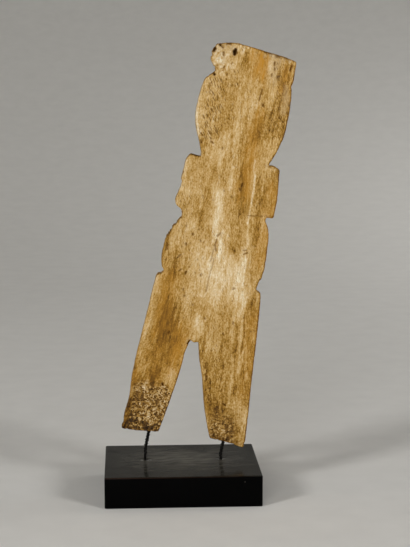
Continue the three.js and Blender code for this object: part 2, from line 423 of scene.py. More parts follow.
# %% Pits at known places
PITS = [  # depth, half-width and points in mm
    (2.6, 0.52, (-4.55, 93.9), (-4.5, 93.6)),  # the large hole in the headdress
    (1.6, 0.36, (-4.4, 94.6), (-4.4, 93.1)),
    (2.0, 0.45, (-11.0, 93.6), (-11.3, 92.9)),
    (0.9, 0.28, (-9.6, 95.2), (-9.4, 95.0)),
    (0.28, 0.30, (-7.4, 95.9), (-6.5, 96.1)),
    (1.0, 0.28, (-10.1, 86.3), (-9.4, 85.6)),
    (0.28, 0.24, (14.1, 93.2), (13.9, 91.8)),
    (0.17, 0.22, (-8.9, 94.7), (-8.6, 94.4)),
    (0.17, 0.22, (-8.1, 92.9), (-7.9, 92.1)),
    (0.17, 0.20, (8.5, 93.2), (8.6, 92.4)),
    (0.17, 0.20, (8.9, 91.4), (9.0, 90.8)),
    (0.14, 0.20, (8.3, 89.4), (8.4, 88.7)),
    (0.25, 0.30, (7.5, 79.5), (7.7, 79.1)),
    (0.14, 0.16, (6.3, 84.0), (6.2, 80.5)),
    (0.17, 0.18, (13.6, 76.2), (14.2, 75.6)),
    (0.14, 0.20, (-2.3, 63.4), (-2.2, 63.1)),
    (0.17, 0.22, (-6.2, 64.8), (-5.6, 64.3)),
    (0.17, 0.22, (-9.5, 64.4), (-9.3, 63.7)),
    (0.10, 0.14, (10.0, 43.7), (14.6, 44.4)),  # scratch in line with the notch under the arm
    (0.17, 0.20, (6.3, 53.4), (6.2, 52.6)),
    (0.17, 0.20, (5.6, 51.8), (6.0, 51.2)),
    (0.14, 0.18, (1.0, 50.3), (1.1, 49.9)),
    (0.14, 0.18, (3.6, 48.9), (3.8, 48.3)),
    (0.11, 0.22, (2.5, 36.4), (1.7, 35.4)),  # the crack in the belly
    (0.18, 0.16, (1.8, 34.2), (1.6, 32.4), (2.3, 30.6)),
    (0.08, 0.14, (1.5, 31), (1.3, 27)),
    (0.06, 0.14, (2.2, 28), (1.9, 22), (1.8, 17)),
    (0.22, 0.25, (-6.2, 34.6), (-6.1, 34.3)),
    (0.22, 0.25, (-7.7, 31.1), (-7.6, 30.7)),
    (0.17, 0.18, (-8.8, 36.9), (-8.7, 36.5)),
    (0.17, 0.18, (-3.3, 33.0), (-3.2, 32.6)),
    (0.19, 0.22, (-13.7, 30.0), (-13.2, 28.2)),
    (0.25, 0.26, (-5.8, 22.1), (-5.9, 21.4)),
    (0.17, 0.20, (-1.0, 22.2), (-0.9, 21.8)),
    (0.17, 0.18, (-8.6, 27.2), (-9.6, 26.0)),
    (0.17, 0.18, (-7.6, 22.6), (-8.1, 22.0)),
    (0.17, 0.18, (10.0, 19.4), (10.6, 19.8)),
    (0.17, 0.18, (11.2, 31.2), (12.4, 31.8)),
    (0.14, 0.16, (11.0, 32.4), (12.0, 32.7)),
    (0.17, 0.20, (-5.6, 16.4), (-5.5, 16.1)),
    (0.17, 0.20, (-4.9, 14.5), (-4.7, 14.3)),
    (0.17, 0.20, (3.1, 8.4), (3.2, 8.1)),
    (0.17, 0.20, (-1.6, 12.0), (-1.5, 11.7)),
    (0.17, 0.18, (12.4, 8.7), (12.5, 8.3)),
    (0.17, 0.20, (10.0, 4.6), (10.2, 4.2)),
    (0.17, 0.18, (-7.4, 2.0), (-7.5, 1.2)),
    (0.50, 0.32, (-6.2, -15.4), (-6.0, -15.9)),  # pit at the top of the spongy foot
    (0.28, 0.25, (-0.2, 0.3), (-0.6, -1.0)),  # torn edge at the fork
    (0.22, 0.25, (-13.4, 58.2), (-13.5, 57.6)),  # pits along the left edge
    (0.22, 0.30, (-13.3, 53.6), (-13.5, 53.0)),
    (0.19, 0.25, (-13.2, 50.5), (-13.9, 50.2)),
    (0.25, 0.30, (-11.2, 41.0), (-11.0, 39.2)),
    (0.17, 0.20, (-11.8, 38.0), (-12.6, 37.0)),
    (0.19, 0.20, (9.2, -16.4), (9.8, -18.0)),
    (0.19, 0.22, (7.2, -9.8), (7.8, -11.6)),
    (0.19, 0.22, (14.6, -18.3), (15.4, -18.6)),
]
HALF_DEPTH = 1.15  # with this a pit is about half as deep at its half-width


def pits(u, v, marks):
    """Depth of the pits, whose walls fall as exp(-(distance / half-width)^4), and a mask of their dirt."""
    u, v = u + 0.13 * noise(u / 0.7, v / 0.9, 11), v + 0.13 * noise(u / 0.8, v / 0.8, 12)
    depth, dirt = np.zeros(np.shape(u)), np.zeros(np.shape(u))
    for deep, width, *points in marks:
        bowl = stroke(u, v, width * HALF_DEPTH, *points)
        steep = np.exp(-(np.log(np.maximum(bowl, 1e-12)) ** 2))
        depth = np.maximum(depth, deep * steep)
        dirt = np.maximum(dirt, steep**0.35 * min(1, 0.35 + 3 * deep))
    return depth, dirt


def scattered_pores(a, b, share, seed):
    """Pores of about 0.4 by 0.6 mm, in a share of the 1.3 by 1.9 mm cells of the fibre coordinates."""
    nearest, _, own = cells(a / 1.3, b / 1.9, seed)
    return ramp(-nearest, -0.24, -0.10) * (own < share)


# %% [markdown]
# ## Fibres and spongy bone
#
# The fibres of a long bone run along it and spread towards its end, so the pattern coordinates spread with
# them: a counts millimetres across the fibres and b along them. Near the joint the dense wall turns into
# spongy bone, a net of struts around open cells about 0.6 mm wide. In the cell pattern the struts are the
# places that are nearly as far from two points, so the difference of the two distances tells strut from
# cell.

# %% Fibre coordinates and the spongy net
SPREAD, SLANT = 0.016, 0.12  # per mm
BEND_AT, BEND_OVER, STRAIGHT = 12, 6, 2  # mm: where spread turns into slant, how gently, about which u
CELL = 0.64  # mm


def fibres(u, v):
    """a and b, across and along the fibres, which slant by SLANT above BEND_AT and spread by SPREAD below."""
    below = np.logaddexp(0, (BEND_AT - v) / BEND_OVER) * BEND_OVER
    above = np.logaddexp(0, (v - BEND_AT) / BEND_OVER) * BEND_OVER
    return STRAIGHT + (u + SLANT * above - STRAIGHT) / (1 + SPREAD * below), v


def spongy_area(u, v):
    """Where the cells lie open, 0 to 1: most of the left foot, and the lower middle of the right foot."""
    u = u + 0.7 * noise(u / 2.2, v / 2.2, 21)
    v = v + 0.7 * noise(u / 1.8, v / 1.8, 22)
    left = ramp(-v, 15.4, 17.0) * ramp(u, -15.6, -14.2) * ramp(-v - 1.9 * (u + 5.5), 12.5, 15.5) * (u < 2)
    right = 0.85 * ramp(-v, 18, 27) * ramp(u, 10.4, 13.0) * ramp(-u, -22.5, -19)
    return np.maximum(left, right)


def spongy_net(u, v):
    """Depth of the open cells, 0 on a strut to 1 in a deep cell: a strut is nearly as far from two points."""
    u, v = u + 0.35 * noise(u / 0.9, v / 0.9, 23), v + 0.35 * noise(u / 0.9, v / 0.9, 24)
    nearest, second, own = cells(u / CELL, v / CELL, 25)
    return ramp(second - nearest, 0.04, 0.42) * (0.3 + 0.7 * own)


# %% [markdown]
# ## The bone's surfaces
#
# The slice of bone keeps the curve of the shaft: hollow in front, full behind, each an arc. Relief is added
# to the arcs, and the rim is rolled over so that front and edge meet in a worn quarter round. The back is
# made in keeping with what shows, and plainer: smooth, with faint fibres and a few pores.

# %% Arcs and rims
MIDDLE = 2.5
FRONT_ARC, BACK_ARC = (0.2, 120.0), (5.2, 70.0)  # y at the middle, and radius
NEAR_RIM = 0.7
SHADED_AND_DIRTY_SIDES = ((0.45, -0.2), (0.1, 0.36))  # shifts that leave the outline at rims of painted shade, facing right and down, and of dirt, facing up


def arc(u, crown, radius):
    """Depth y of a wall that bulges backwards: an arc of the given radius, with `crown` at MIDDLE."""
    return crown - radius + np.sqrt(radius**2 - (u - MIDDLE) ** 2)


def rolled_rim(inside, radius):
    """How far a quarter-round rim drops at a distance d inside the outline: r - sqrt(r^2 - (r - d)^2)."""
    reach = np.clip(radius - inside, 0, radius)
    return radius - np.sqrt(radius**2 - reach**2)


def shaded_and_dirty_rim(u, v, inside):
    """1 along the rims that face right, down or up: inside the outline, but outside it when shifted.
    On the rims facing right and down it is painted shade, on those facing up dirt.
    """
    near, rim = inside < NEAR_RIM, np.zeros(len(u))
    for shift_u, shift_v in SHADED_AND_DIRTY_SIDES:
        outside = ramp(-distance_inside(u[near] + shift_u, v[near] + shift_v), -0.15, 0.25)
        rim[near] = np.maximum(rim[near], outside)
    return rim


# %% Relief and masks of the front
RIDGE = ((8.7, 62), (9.5, 55), (10.2, 49), (10.4, 43), (11.4, 30), (13.6, 19), (15.5, 8))
CHANNEL = ((-0.5, 48), (0.7, 42), (0.9, 35))
CHEST_HOLLOW = ((7.0, 62), (6.8, 52), (8.0, 47))
DASHED_BANDS = [  # as for the marks
    (0.8, 2.2, (-3.2, 89.5), (-2.4, 84)),
    (0.7, 2.8, (10.0, 93), (11.8, 84), (12.0, 72)),
]


def chalky_corner(u, v):
    """1 in the chalky corner of the headdress, with a ragged lower end."""
    return stroke(u, v, 3.4, (-8.8, 92), (-7.2, 88.6)) * ramp(v + 0.8 * ripple(u, 1.2, 40), 84.5, 86.5)


def dashed_areas(u, v, a, b):
    """How close together the short dark dashes lie: the most of the head's side, two bands and a noise."""
    head = ramp(stroke(u, v, 4.6, (-8.0, 82), (-7.6, 68)), 0.2, 0.8)
    bands = [strength * stroke(u, v, width, *points) for strength, width, *points in DASHED_BANDS]
    return np.maximum.reduce([head, *bands, 0.18 + 0.4 * noise(a / 4, b / 6, 38)])


def front_surface(u, v, inside):
    """Relief of the front in mm, outwards above 0, with the masks that its colours need."""
    a, b = fibres(u, v)
    hollow, dirt = pits(u, v, PITS)
    pores = scattered_pores(a, b, 0.07, 31) * ramp(noise(a / 6, b / 9, 30), -0.4, 0.5)
    spongy, net = spongy_area(u, v), spongy_net(u, v)
    chalky = chalky_corner(u, v)
    crust = np.clip(marked(u, v, FRONT_CRUST, 57, 0.12), 0, 1)

    relief = 0.10 * noise(a / 2.3, b / 20, 32) + 0.06 * noise(a, b / 8, 33) + 0.05 * noise(a / 0.6, b / 3, 34)
    relief += 0.14 * stroke(u, v, 0.4, *RIDGE)
    relief -= 0.16 * stroke(u, v, 1.2, *CHANNEL)
    relief -= 0.10 * stroke(u, v, 1.6, *CHEST_HOLLOW)
    relief += chalky * (0.14 * noise(u / 0.6, v / 0.6, 35) + 0.10 * noise(u / 0.3, v / 0.3, 36) - 0.12)
    relief -= spongy * (0.50 * net + 0.10) - spongy * 0.12 * noise(u / 2, v / 2, 37)
    relief -= crust * (0.10 + 0.10 * noise(u / 0.4, v / 0.4, 39))
    relief -= hollow + 0.16 * pores * (1 - spongy)
    relief *= ramp(inside, -0.05, 0.5)

    tone = marked(u, v, FRONT_TONES, 41)
    tone = tone + 0.12 * noise(a / 2.6, b / 12, 45) + 0.12 * noise(a / 1.1, b / 6, 46)
    tone = tone + 0.08 * noise(u / 4, v / 4, 47)
    bright = ramp(noise(u / 0.55, v / 0.5, 48) + 0.3 * noise(u / 3, v / 3, 50), -0.7, 0.6)
    struts = 1.15 * (1 - net) * bright - 0.66 + 0.2 * noise(u / 0.5, v / 0.5, 44)
    tone = tone * (1 - 0.6 * spongy) + spongy * struts
    speckled = 0.35 * noise(u / 1.1, v / 1.1, 49) + 0.45 * noise(u / 0.45, v / 0.45, 43)
    chalk = 0.52 + speckled - 0.7 * ramp(noise(u / 0.7, v / 1.2, 42), 0.25, 0.6)
    tone = tone * (1 - 0.6 * chalky) + chalky * chalk
    # Painted shade darkens the rims that face right and down; on the rims that face up the darkening is dirt.
    tone = tone - 0.55 * shaded_and_dirty_rim(u, v, inside)
    cell_dirt = 0.55 * spongy * ramp(net, 0.15, 1.0)
    masks = {
        "tone": tone,
        "honey": marked(u, v, FRONT_HONEY, 51),
        "grey": marked(u, v, FRONT_GREY, 55) + 0.08 * spongy,
        "dirt": np.maximum.reduce([dirt, cell_dirt, 0.7 * pores * (1 - spongy), 0.85 * crust]),
        "rough": np.maximum(spongy, 0.8 * chalky),
        "dashes": dashed_areas(u, v, a, b),
    }
    return relief, masks


# %% Relief and masks of the back
def back_surface(u, v, inside):
    """The same for the hidden back: broad faint fibres, few pores, and cells only close to the soles."""
    a, b = fibres(u, v)
    pores = scattered_pores(a, b, 0.08, 61)
    spongy = 0.5 * ramp(-v, 24, 31)
    net = spongy_net(u + 40, v)
    relief = 0.07 * noise(a / 3, b / 30, 62) + 0.03 * noise(a / 1.0, b / 14, 63) - 0.10 * pores
    relief = (relief - 0.25 * spongy * net) * ramp(inside, 0, 0.5)
    tone = 0.05 + 0.22 * noise(a / 5, b / 22, 64) + 0.12 * noise(a / 1.4, b / 12, 65) - 0.35 * ramp(-v, 5, 30)
    none = np.zeros(len(u))
    masks = {
        "tone": tone,
        "honey": 0.25 * ramp(noise(u / 7, v / 16, 66), 0, 0.9),
        "grey": none,
        "dirt": np.maximum(0.5 * pores, 0.6 * spongy * net),
        "rough": spongy,
        "dashes": none,
    }
    return relief, masks


# %% [markdown]
# ## The cut edge
#
# All round the figure runs the cut edge of the bone wall, 4 to 5 mm deep. It is a strip: one parameter goes
# round the outline, the other from front to back. Its first and last rows are the very points of the two
# rims, so the three surfaces close into one solid. The soles show cells, and a small socket where each rod
# goes in.

# %% The strip between the rims
WALL_ROWS = 10
ROD_Y = 1.8
SOCKETS = ((-7.3, -31.6), (17.4, -30.6))  # u and v of each, in mm
SOCKET_RADIUS, SOCKET_DEPTH = 0.75, 1.1


def edge_surface(front_y, back_y):
    """Rows of points from the front rim to the back rim, pushed in by file marks, cells and rod sockets."""
    out_u, out_v = outwards(edge_u, edge_v)
    t = np.linspace(0, 1, WALL_ROWS + 1)[1:-1, None]
    y = front_y + (back_y - front_y) * t
    u, v, along = (np.broadcast_to(w, y.shape) for w in (edge_u, edge_v, edge_along))
    free = np.sin(np.pi * t)
    sole = ramp(-v, 27, 30.5)
    net = spongy_net(along, y + 60)
    cut = 0.06 * noise(along / 0.7, y / 2.5, 71) + 0.05 * noise(along / 2.2, y / 1.4, 72) + 0.30 * sole * net
    cut, socket = cut * free, np.zeros(y.shape)
    for centre, bottom in SOCKETS:
        near = np.exp(-((((u - centre) ** 2 + (y - ROD_Y) ** 2) / SOCKET_RADIUS**2) ** 2))
        socket = np.maximum(socket, near * (np.abs(v - bottom) < 1.5))
    cut = cut + SOCKET_DEPTH * socket
    dirt = np.maximum(0.8 * sole * ramp(net, 0.3, 0.9), socket)
    return (u - cut * out_u).ravel(), (v - cut * out_v).ravel(), y.ravel(), t, dirt, sole


def strip(rows, columns):
    """Triangles of a grid whose columns close on themselves, for points numbered row by row."""
    i, j = np.meshgrid(np.arange(rows - 1), np.arange(columns), indexing="ij")
    a, b = i * columns + j, i * columns + (j + 1) % columns
    c, d = a + columns, b + columns
    return np.concatenate([np.stack([a, c, b], -1).reshape(-1, 3), np.stack([b, c, d], -1).reshape(-1, 3)])


# %% [markdown]
# ## Putting the bone together
#
# The three surfaces go into one mesh, and every mask becomes an attribute of its points, which the material
# reads. The fibre coordinates go in too, with the depth between them, so that fibres run on round the edges
# instead of smearing across them.

# %% One mesh from arrays
def make_piece(name, points, faces, attributes=None):
    """A smooth mesh from arrays of points in metres and corner numbers, with numbers kept at each point."""
    mesh = bpy.data.meshes.new(name)
    mesh.from_pydata(points, [], faces)
    for key, values in (attributes or {}).items():
        kind = "FLOAT" if values.ndim == 1 else "FLOAT_VECTOR"
        field = "value" if values.ndim == 1 else "vector"
        mesh.attributes.new(key, kind, "POINT").data.foreach_set(field, values.astype(np.float32).ravel())
    mesh.shade_smooth()
    piece = bpy.data.objects.new(name, mesh)
    bpy.context.scene.collection.objects.link(piece)
    print(name, "has", len(mesh.vertices), "points and", len(mesh.polygons), "faces")
    return piece


# %% The figure
FINE, MEDIUM, COARSE, BACK_STEP = 0.15, 0.2, 0.3, 0.6  # mm
RIM_OFFSETS = (0.07, 0.18, 0.34)
RIM_RADIUS = 0.34


def front_step(u, v):
    """Fine steps in the spongy left foot, medium in the right foot and the chalky corner, else coarse."""
    step = np.full(len(u), COARSE)
    step[((v < -17) & (u > 10)) | ((v > 85) & (u < -3))] = MEDIUM
    step[(v < -15) & (u < 0)] = FINE
    return step


def back_step(u, v):
    """The same wide step all over the back."""
    return np.full(len(u), BACK_STEP)


def make_side(points, surface, shape, outward):
    """One side's u, v and y, made of its arc, its relief and its rolled rim, and its masks."""
    u, v = points.T
    inside = np.maximum(distance_inside(u, v), 0)
    inside[: len(edge_u)] = 0
    relief, masks = surface(u, v, inside)
    radius = RIM_RADIUS + 0.10 * noise(u / 5, v / 5, 82)
    y = arc(u, *shape) + outward * (relief - rolled_rim(inside, radius))
    return u, v, y, masks


def make_figure():
    """Front, back and edge as one closed mesh: surfaces that meet at the outline share its points."""
    front, front_faces = filled(front_step, (FINE, MEDIUM, COARSE), RIM_OFFSETS, 7)
    back, back_faces = filled(back_step, (BACK_STEP,), RIM_OFFSETS[1:], 8)
    fu, fv, fy, front_masks = make_side(front, front_surface, FRONT_ARC, -1)
    bu, bv, by, back_masks = make_side(back, back_surface, BACK_ARC, 1)
    count = len(edge_u)
    eu, ev, ey, t, dirt, sole = edge_surface(fy[:count], by[:count])
    share = 1 - ramp(t, 0.2, 0.9)
    edge_masks = {}
    for key in front_masks:
        edge_masks[key] = share * front_masks[key][:count] + (1 - share) * back_masks[key][:count]
    mottled = 0.15 * noise(ev.reshape(sole.shape), ey.reshape(sole.shape), 83)
    edge_masks["tone"] = edge_masks["tone"] - 0.10 - 0.25 * sole + mottled
    edge_masks["dirt"] = np.maximum(0.5 * edge_masks["dirt"], dirt)
    edge_masks["rough"] = np.maximum(edge_masks["rough"], sole)
    u, v, y = (np.concatenate(parts) for parts in ((fu, bu, eu), (fv, bv, ev), (fy, by, ey)))
    masks = {k: np.concatenate([front_masks[k], back_masks[k], edge_masks[k].ravel()]) for k in front_masks}
    rim = np.arange(count)
    between = len(fu) + len(bu) + np.arange(count * (WALL_ROWS - 1))
    grid = np.concatenate([rim, between, len(fu) + rim])
    faces = np.concatenate([front_faces, back_faces[:, ::-1] + len(fu), grid[strip(WALL_ROWS + 1, count)]])
    a, b = fibres(u, v)
    masks["grain"] = np.stack([a, y, b], -1)
    return make_piece("bone_figure", place(u, v, y), faces, masks)


figure = make_figure()
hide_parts("figurine")
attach(figure, "root")

# %% [markdown]
# ## The rods
#
# Each rod is a length of steel wire just under a millimetre thick, bent once so that it follows the leg. The
# packed rod has twelve flat sides in rings along it, so the middle of each ring gives the centre line. A
# rounder tube is carried along that line, with the slight unevenness of wire that was bent by hand.

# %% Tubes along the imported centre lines
ROD_RADIUS = 0.45
PACKED_SIDES, TUBE_SIDES, TUBE_STEP = 12, 24, 0.3


def centre_line(node):
    """The middle of each ring of a packed rod, from the plinth up: its corners by height, ring by ring."""
    corners = np.unique(np.array([vertex.co for vertex in node.data.vertices]).round(7), axis=0) / MM
    rings = corners[np.argsort(corners[:, 2])].reshape(-1, PACKED_SIDES, 3)
    return rings.mean(1)


def tube(line, radius, seed):
    """Circles of one radius, square to a line that leans in the x-z plane, and a point to close each end."""
    walked = np.append(0, np.cumsum(np.linalg.norm(np.diff(line, axis=0), axis=1)))
    marks = np.linspace(0, walked[-1], round(walked[-1] / TUBE_STEP))
    middle = np.stack([np.interp(marks, walked, line[:, k]) for k in range(3)], -1)
    along = np.gradient(middle, axis=0)
    along /= np.linalg.norm(along, axis=1)[:, None]
    side = np.stack([along[:, 2], 0 * marks, -along[:, 0]], -1)
    angle = np.linspace(0, 2 * np.pi, TUBE_SIDES, endpoint=False)
    wobble = radius * (1 + 0.006 * noise(marks[:, None] / 4, angle[None] * 2, seed))
    ring = side[:, None] * np.cos(angle)[:, None] + np.array([0, 1, 0]) * np.sin(angle)[:, None]
    points = (middle[:, None] + ring * wobble[..., None]).reshape(-1, 3)
    points = np.concatenate([points, middle[:1], middle[-1:]])
    last = len(points) - 2
    turn = np.arange(TUBE_SIDES)
    step = (turn + 1) % TUBE_SIDES
    top = last - TUBE_SIDES
    start = np.stack([turn, step, 0 * turn + last], -1)
    end = np.stack([top + step, top + turn, 0 * turn + last + 1], -1)
    return points * MM, np.concatenate([strip(len(marks), TUBE_SIDES), start, end])[:, ::-1]


rods = []
for name, seed in (("left_rod", 91), ("right_rod", 92)):
    line = centre_line(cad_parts[name])
    rod = make_piece(name.replace("rod", "wire_rod"), *tube(line, ROD_RADIUS, seed))
    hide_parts(name)
    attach(rod, "root")
    rods.append(rod)
    print(name, "centre line from", line[0].round(1), "to", line[-1].round(1))

# %% [markdown]
# ## The plinth
#
# The plinth is a sawn block, its edges just broken before it was lacquered, with a drilled hole for each rod.
# One profile, from the edge of the underside to the edge of the top, is carried round a rectangle with small
# round corners. The top is filled round the two holes, and each hole is a short shaft with a floor. The left
# hole is wider than its rod and chipped towards the right.

# %% The block and its two holes
lowest, highest = (np.array(corner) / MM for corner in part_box("plinth"))
CORNER, ARRIS, HOLE_DEPTH = 0.45, 0.35, 5.0  # mm
HOLES = {"left_rod": (0.68, 1.25), "right_rod": (0.60, 0.66)}  # reach to the left and to the right, mm


def round_rectangle(low, high, radius, per_corner=5):
    """A rectangle with quarter-circle corners, anticlockwise: each corner's centre plus a turning radius."""
    low, high = np.array(low) + radius, np.array(high) - radius
    centres = [(high[0], low[1]), (high[0], high[1]), (low[0], high[1]), (low[0], low[1])]
    quarters = [np.linspace(-np.pi / 2, 0, per_corner) + k * np.pi / 2 for k in range(4)]
    return np.concatenate([
        np.array(c) + radius * np.stack([np.cos(q), np.sin(q)], -1) for c, q in zip(centres, quarters)
    ])


def hole_rim(centre, left, right, sides=28):
    """A round hole drawn out to a chip on its right: its radius turns from `left` into `right`."""
    angle = np.linspace(0, 2 * np.pi, sides, endpoint=False)
    reach = left + (right - left) * ramp(np.cos(angle), 0, 1) + 0.05 * np.sin(5 * angle)
    return np.array(centre) + np.stack([reach * np.cos(angle), 0.85 * left * np.sin(angle)], -1)


def within(points, loop):
    """Whether each point is inside a closed loop: a ray to its right crosses it an odd number of times."""
    (x0, y0), (x1, y1) = loop.T, np.roll(loop, -1, 0).T
    x, y = points[:, :1], points[:, 1:]
    passes = (y0 > y) != (y1 > y)
    crossing = x0 + (y - y0) * (x1 - x0) / np.where(y1 == y0, 1, y1 - y0)
    return (passes & (x < crossing)).sum(1) % 2 == 1


def flat(loop, holes, spacing, height, upwards):
    """A flat face inside a loop and round its holes, with a grid of points that keeps its triangles even."""
    low, high = loop.min(0) + spacing / 2, loop.max(0) - spacing / 2
    steps = [np.linspace(a, b, max(2, round((b - a) / spacing))) for a, b in zip(low, high)]
    inner = np.stack(np.meshgrid(*steps), -1).reshape(-1, 2)
    inner = inner[within(inner, loop)]
    for hole in holes:
        centre = hole.mean(0)
        inner = inner[np.abs(inner - centre).max(1) > np.abs(hole - centre).max() + 0.3]
    loops, points = [], []
    for line in [loop, *(hole[::-1] for hole in holes)]:
        loops.append(list(range(len(points), len(points) + len(line))))
        points += line.tolist()
    points += inner.tolist()
    made = delaunay_2d_cdt([Vector(p) for p in points], [], loops, 1, 1e-7)
    corners, triangles = np.array(made[0]), np.array(made[2])
    for hole in holes:
        triangles = triangles[~within(corners[triangles].mean(1), hole)]
    flat_points = np.column_stack([corners, np.full(len(corners), height)])
    return flat_points, triangles if upwards else triangles[:, ::-1]


def carried(loop, profile):
    """A loop carried through a profile of (inset, height) pairs: each row is the loop drawn to its middle by
    the inset, which moves the sides of a rectangle or an oval in by that much."""
    middle = (loop.max(0) + loop.min(0)) / 2
    half = (loop.max(0) - loop.min(0)) / 2
    rows = [middle + (loop - middle) * (1 - inset / half) for inset, _ in profile]
    heights = np.repeat([height for _, height in profile], len(loop))
    return np.column_stack([np.concatenate(rows), heights]), strip(len(profile), len(loop))[:, ::-1]


def welded(parts):
    """Several (points, faces) surfaces as one, with the points at the same place merged. Places are compared
    as short floats, since the triangulation counts in those."""
    shift = np.cumsum([0] + [len(points) for points, _ in parts])
    points = np.concatenate([points for points, _ in parts])
    faces = np.concatenate([faces + k for (_, faces), k in zip(parts, shift)])
    short = points.astype(np.float32)
    _, first, number = np.unique(short, axis=0, return_index=True, return_inverse=True)
    return points[first] * MM, number.ravel()[faces]


def make_plinth():
    """Underside, side, rolled arris and top, each hole's shaft and floor, all welded into one block."""
    outline = round_rectangle(lowest[:2], highest[:2], CORNER)
    turn = np.linspace(0, np.pi / 2, 6)
    bend = ARRIS * (1 - np.stack([np.cos(turn), np.sin(turn)], -1))
    bottom, top = lowest[2], highest[2]
    side = [(a, bottom + b) for a, b in bend][::-1] + [(a, top - b) for a, b in bend]
    rims = []
    for name, (left, right) in HOLES.items():
        foot = centre_line(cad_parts[name])[0]
        rims.append(hole_rim(foot[:2], left, right))
    shell, shell_faces = carried(outline, side)
    upper, under = shell[-len(outline) :, :2], shell[: len(outline), :2]
    parts = [(shell, shell_faces), flat(upper, rims, 1.4, top, True), flat(under, [], 2.5, bottom, False)]
    for rim in rims:
        shaft, shaft_faces = carried(rim, [(0, top), (0.05, top - 0.12), (0.06, top - HOLE_DEPTH)])
        floor = shaft[-len(rim) :, :2]
        parts += [(shaft, shaft_faces), flat(floor, [], 5, top - HOLE_DEPTH, True)]
    points, faces = welded(parts)
    x, y, z = points.T / MM
    # The top is lightened by real smear marks and by a painted reflection, palest in the middle.
    rubbed_and_lit_middle = np.exp(-((x / 15) ** 2) - ((y - 3) / 13) ** 2)
    arris = 0.7 * ramp(z, top - ARRIS, top - 0.2) * ramp(-z, -top, 0.06 - top)
    masks = {
        "smears_and_reflection_on_top": ramp(z, top - 0.2, top) * (0.25 + 0.85 * rubbed_and_lit_middle),
        "worn": arris * ramp(noise(x / 3, y / 3, 95), 0, 1),
    }
    return make_piece("lacquered_plinth", points, faces, masks)


plinth = make_plinth()
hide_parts("plinth")
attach(plinth, "root")

# %% [markdown]
# ## Materials
#
# Four finishes are needed: old bone, blackened steel wire, black lacquer on wood and a matt studio card.
# Each is a tree of nodes on the standard shader. One function turns the hex colours, which are sRGB as seen
# on a screen, into the linear numbers that light adds up in. Another adds a node with its settings and
# links, and a few short ones use it for what comes back often: a sum, a stretched pattern, a layer of colour.

# %% Colours and nodes
def linear(code):
    """An sRGB hex colour as linear red, green, blue and 1: each channel goes through the sRGB curve."""
    channels = np.array([int(code[k : k + 2], 16) for k in (1, 3, 5)]) / 255
    return (*np.where(channels <= 0.04045, channels / 12.92, ((channels + 0.055) / 1.055) ** 2.4), 1.0)


def add(tree, kind, inputs=None, **settings):
    """Adds a node: `settings` are its own properties, `inputs` its sockets, each a value or a socket."""
    made = tree.nodes.new(kind)
    for key, value in settings.items():
        setattr(made, key, value)
    for key, value in (inputs or {}).items():
        if isinstance(value, bpy.types.NodeSocket):
            tree.links.new(value, made.inputs[key])
        else:
            made.inputs[key].default_value = value
    return made


def compute(tree, operation, *values, **settings):
    """The result of one operation on up to three values or sockets."""
    return add(tree, "ShaderNodeMath", dict(enumerate(values)), operation=operation, **settings).outputs[0]


def ranged(tree, value, low, high, new_low=0, new_high=1):
    """A value taken from one range to another, and held inside it."""
    return add(tree, "ShaderNodeMapRange", {0: value, 1: low, 2: high, 3: new_low, 4: new_high}).outputs[0]


def brought(tree, name, output="Fac"):
    """What the mesh brings for each of its points under a name."""
    return add(tree, "ShaderNodeAttribute", attribute_name=name).outputs[output]


def stretched(tree, vector, *widths):
    """A vector divided by the widths that a pattern will then have along its three axes."""
    scale = [1 / width for width in widths]
    return add(tree, "ShaderNodeMapping", {"Vector": vector, "Scale": scale}).outputs[0]


def noise_at(tree, vector, detail):
    """Noise from 0 to 1 whose bumps are one unit of the vector wide."""
    return add(tree, "ShaderNodeTexNoise", {"Vector": vector, "Scale": 1, "Detail": detail}).outputs["Fac"]


def cells_at(tree, vector):
    """The distance to the nearest of points scattered one to a unit, and that point's own colour."""
    made = add(tree, "ShaderNodeTexVoronoi", {"Vector": vector, "Scale": 1, "Randomness": 1})
    return made.outputs["Distance"], made.outputs["Color"]


def layered(tree, amount, below, code, mode="MIX"):
    """A hex colour laid over the colour below by an amount from 0 to 1."""
    sockets = {0: amount, 6: below, 7: linear(code)}
    return add(tree, "ShaderNodeMix", sockets, data_type="RGBA", blend_type=mode).outputs[2]


def connect(tree, shader, colour, rough, height, strength, depth):
    """Links colour and roughness to the shader, and a bump that is `depth` metres deep."""
    bump = add(tree, "ShaderNodeBump", {"Height": height, "Strength": strength, "Distance": depth})
    for socket, key in ((colour, "Base Color"), (rough, "Roughness"), (bump.outputs[0], "Normal")):
        tree.links.new(socket, shader.inputs[key])


def new_material(name):
    """An empty material with a shader and an output, and its node tree."""
    material = bpy.data.materials.new(name)
    material.use_nodes = True
    tree = material.node_tree
    tree.nodes.clear()
    shader = add(tree, "ShaderNodeBsdfPrincipled")
    add(tree, "ShaderNodeOutputMaterial", {"Surface": shader.outputs["BSDF"]})
    return material, tree, shader


# %% [markdown]
# ### Old bone
#
# Bone that has been handled and buried for centuries is honey brown where oil and soil went in, and cream
# where the surface is chalky. One number, the tone, runs from brown to cream along a colour ramp. The mesh
# brings the broad marks, and four noises add bands 1.4 mm wide and the hair lines, fibres and specks of 0.3
# to 0.4 mm that show on the real one. The short dashes are cells stretched along a slanting line. They are
# dirt, like the pits and pores: a brown that multiplies the colour below. Worn bone has a soft polish, and
# open cells, chalk and dirt have little. The index of refraction is low, so that no shine veils the pits.

# %% Bone material
BONE_RAMP = [  # tone from 0, darkest, to 1, palest, and its colour
    (0.00, "#38230C"),
    (0.20, "#6C4A18"),
    (0.36, "#96702C"),
    (0.50, "#B28F54"),
    (0.62, "#C1A26E"),
    (0.78, "#D0B890"),
    (1.00, "#E2D7B8"),
]

